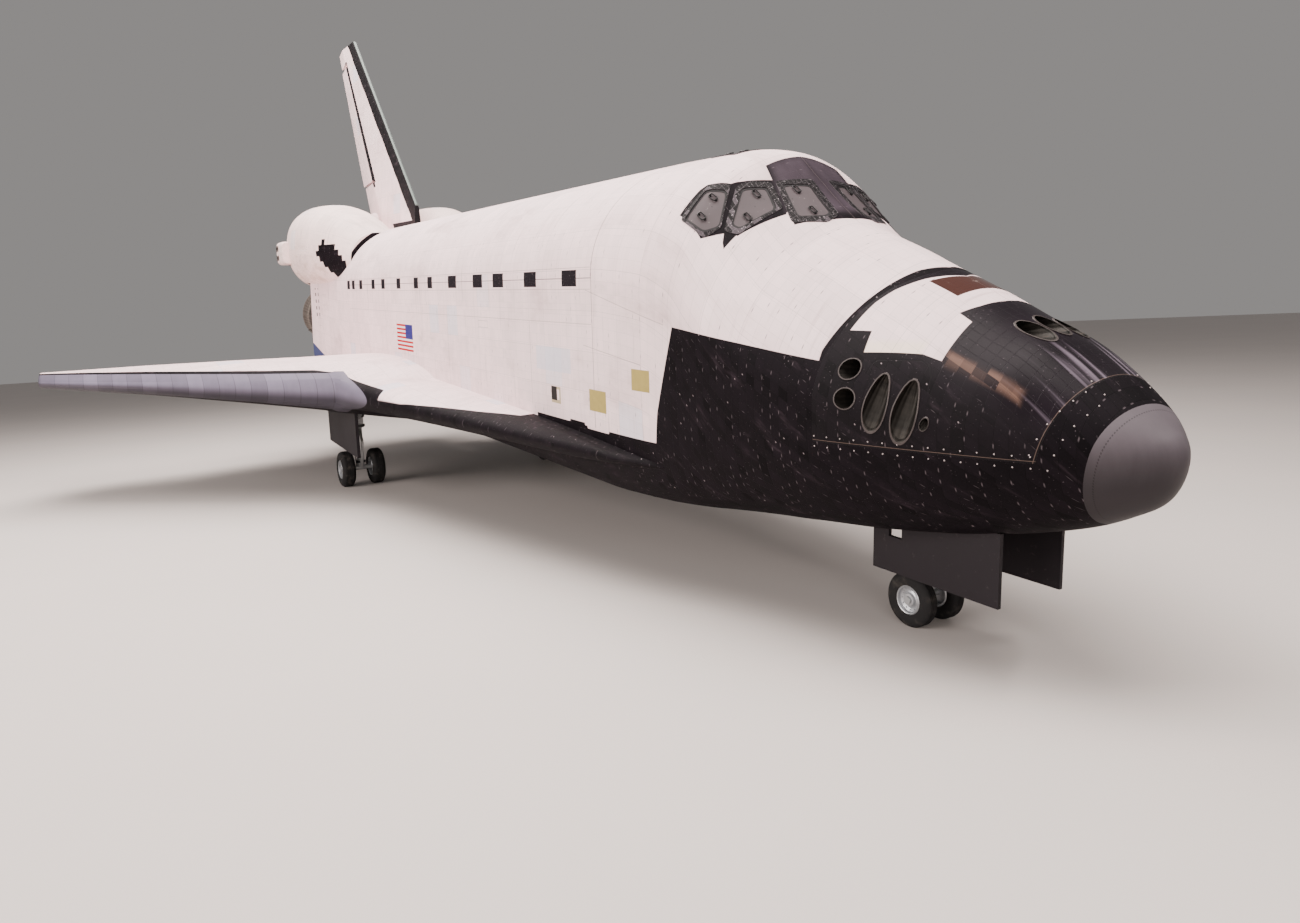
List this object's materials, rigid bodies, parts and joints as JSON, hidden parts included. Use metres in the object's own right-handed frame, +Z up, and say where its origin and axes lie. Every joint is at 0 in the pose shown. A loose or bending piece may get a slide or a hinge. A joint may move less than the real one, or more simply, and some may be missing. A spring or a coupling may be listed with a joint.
{
  "type": "winged space orbiter",
  "caption": "Winged reusable spacecraft standing on its landing gear, with a split cargo bay, crew cabin, delta wings, split rudder and rocket engines.",
  "frame": {"origin": "on the ground under the middle of the whole vehicle's bounding box", "axes": "+X along the vehicle towards the nose, +Y towards its left side, +Z up; the body rests 3.5 degrees nose down on its wheels"},
  "size_m": [36.357, 23.792, 17.2166],
  "materials": {
    "white_tile": "matt coated tile, off white, stained and streaked by use",
    "black_tile": "satin black coated tile with pale specks and fine joints",
    "grey_carbon": "matt grey coated carbon shell",
    "white_blanket": "matt white quilted blanket and felt with a fine seam grid",
    "radiator_silver": "bright silvered panel",
    "nozzle_metal": "heat-tinted grey alloy, satin",
    "window_cover": "matt grey cover over each pane",
    "gear_metal": "pale grey paint over steel",
    "tyre_rubber": "matt worn rubber",
    "wheel_metal": "satin machined metal"
  },
  "bodies": {
    "airframe": {"nose_cap": "grey_carbon", "forward_thruster_module": "black_tile", "forward_fuselage": "white_tile", "window_cover_front_left": "window_cover", "window_cover_front_right": "window_cover", "window_cover_middle_left": "window_cover", "window_cover_middle_right": "window_cover", "window_cover_side_left": "window_cover", "window_cover_side_right": "window_cover", "window_cover_overhead_left": "window_cover", "window_cover_overhead_right": "window_cover", "mid_fuselage": "white_blanket", "aft_fuselage": "white_tile", "engine_pod_left": "white_blanket", "engine_pod_right": "white_blanket", "pod_nozzle_left": "nozzle_metal", "pod_nozzle_right": "nozzle_metal", "main_nozzle_upper": "nozzle_metal", "main_nozzle_left": "nozzle_metal", "main_nozzle_right": "nozzle_metal", "vertical_fin": "white_tile", "wing_left": "white_blanket", "wing_right": "white_blanket", "wing_leading_edge_left": "grey_carbon", "wing_leading_edge_right": "grey_carbon", "main_leg_left": "gear_metal", "main_leg_right": "gear_metal", "main_gear_door_left": "black_tile", "main_gear_door_right": "black_tile", "nose_leg": "gear_metal", "nose_gear_door_left": "black_tile", "nose_gear_door_right": "black_tile"},
    "bay_door_left_set": {"bay_door_left": "white_blanket", "bay_radiator_left": "radiator_silver"},
    "bay_door_right_set": {"bay_door_right": "white_blanket", "bay_radiator_right": "radiator_silver"},
    "crew_hatch": {"side_hatch": "white_tile"},
    "elevon_inner_left_set": {"elevon_inner_left": "black_tile"},
    "elevon_inner_right_set": {"elevon_inner_right": "black_tile"},
    "elevon_outer_left_set": {"elevon_outer_left": "black_tile"},
    "elevon_outer_right_set": {"elevon_outer_right": "black_tile"},
    "body_flap_set": {"body_flap": "black_tile"},
    "rudder": {"rudder_core": "gear_metal"},
    "rudder_half_left": {"rudder_panel_left": "white_tile"},
    "rudder_half_right": {"rudder_panel_right": "white_tile"},
    "nose_steering_set": {"nose_steering": "gear_metal"},
    "nose_wheels": {"nose_tyre_inner": "tyre_rubber", "nose_wheel_inner": "wheel_metal", "nose_tyre_outer": "tyre_rubber", "nose_wheel_outer": "wheel_metal"},
    "main_left_wheels": {"main_left_tyre_inner": "tyre_rubber", "main_left_wheel_inner": "wheel_metal", "main_left_tyre_outer": "tyre_rubber", "main_left_wheel_outer": "wheel_metal"},
    "main_right_wheels": {"main_right_tyre_inner": "tyre_rubber", "main_right_wheel_inner": "wheel_metal", "main_right_tyre_outer": "tyre_rubber", "main_right_wheel_outer": "wheel_metal"}
  },
  "joints": [
    {"name": "bay_door_left_hinge", "type": "hinge", "parent": "airframe", "child": "bay_door_left_set", "pos_m": [0.42841, 2.675, 5.99472], "axis": [-0.9981, 0, 0.061], "range_deg": [0, 175.5]},
    {"name": "bay_door_right_hinge", "type": "hinge", "parent": "airframe", "child": "bay_door_right_set", "pos_m": [0.42841, -2.675, 5.99472], "axis": [0.9981, 0, -0.061], "range_deg": [0, 175.5]},
    {"name": "crew_hatch_hinge", "type": "hinge", "parent": "airframe", "child": "crew_hatch", "pos_m": [12.16245, 2.56, 2.91764], "axis": [-0.9981, 0, 0.061], "range_deg": [0, 90]},
    {"name": "elevon_inner_left_hinge", "type": "hinge", "parent": "airframe", "child": "elevon_inner_left_set", "pos_m": [-10.96439, 5.387, 3.75798], "axis": [0.002, 0.9995, 0.0325], "range_deg": [-21.5, 36.5]},
    {"name": "elevon_inner_right_hinge", "type": "hinge", "parent": "airframe", "child": "elevon_inner_right_set", "pos_m": [-10.96439, -5.387, 3.75798], "axis": [-0.002, 0.9995, -0.0325], "range_deg": [-21.5, 36.5]},
    {"name": "elevon_outer_left_hinge", "type": "hinge", "parent": "airframe", "child": "elevon_outer_left_set", "pos_m": [-10.9554, 9.913, 3.90496], "axis": [0.002, 0.9995, 0.0325], "range_deg": [-21.5, 36.5]},
    {"name": "elevon_outer_right_hinge", "type": "hinge", "parent": "airframe", "child": "elevon_outer_right_set", "pos_m": [-10.9554, -9.913, 3.90496], "axis": [-0.002, 0.9995, -0.0325], "range_deg": [-21.5, 36.5]},
    {"name": "body_flap_hinge", "type": "hinge", "parent": "airframe", "child": "body_flap_set", "pos_m": [-14.7567, 0, 3.59027], "axis": [0, 1, 0], "range_deg": [-22.5, 11.7]},
    {"name": "rudder_turn", "type": "hinge", "parent": "airframe", "child": "rudder", "pos_m": [-14.92451, 0, 13.63976], "axis": [-0.5202, 0, 0.8541], "range_deg": [-27.1, 27.1]},
    {"name": "speedbrake_left", "type": "hinge", "parent": "rudder", "child": "rudder_half_left", "pos_m": [-14.92451, 0, 13.63976], "axis": [0.5202, 0, -0.8541], "range_deg": [0, 49.3]},
    {"name": "speedbrake_right", "type": "hinge", "parent": "rudder", "child": "rudder_half_right", "pos_m": [-14.92451, 0, 13.63976], "axis": [-0.5202, 0, 0.8541], "range_deg": [0, 49.3]},
    {"name": "nose_steer", "type": "hinge", "parent": "airframe", "child": "nose_steering_set", "pos_m": [14.53602, 0, 0.88895], "axis": [0.061, 0, 0.9981], "range_deg": [-10, 10]},
    {"name": "nose_wheels_roll", "type": "hinge", "parent": "nose_steering_set", "child": "nose_wheels", "pos_m": [14.50649, 0, 0.406], "axis": [0, 1, 0], "continuous": true},
    {"name": "main_left_wheels_roll", "type": "hinge", "parent": "airframe", "child": "main_left_wheels", "pos_m": [-5.53118, 3.454, 0.565], "axis": [0, 1, 0], "continuous": true},
    {"name": "main_right_wheels_roll", "type": "hinge", "parent": "airframe", "child": "main_right_wheels", "pos_m": [-5.53118, -3.454, 0.565], "axis": [0, 1, 0], "continuous": true}
  ],
  "couplings": [
    {"joint": "speedbrake_right", "follows": "speedbrake_left", "ratio": 1}
  ]
}
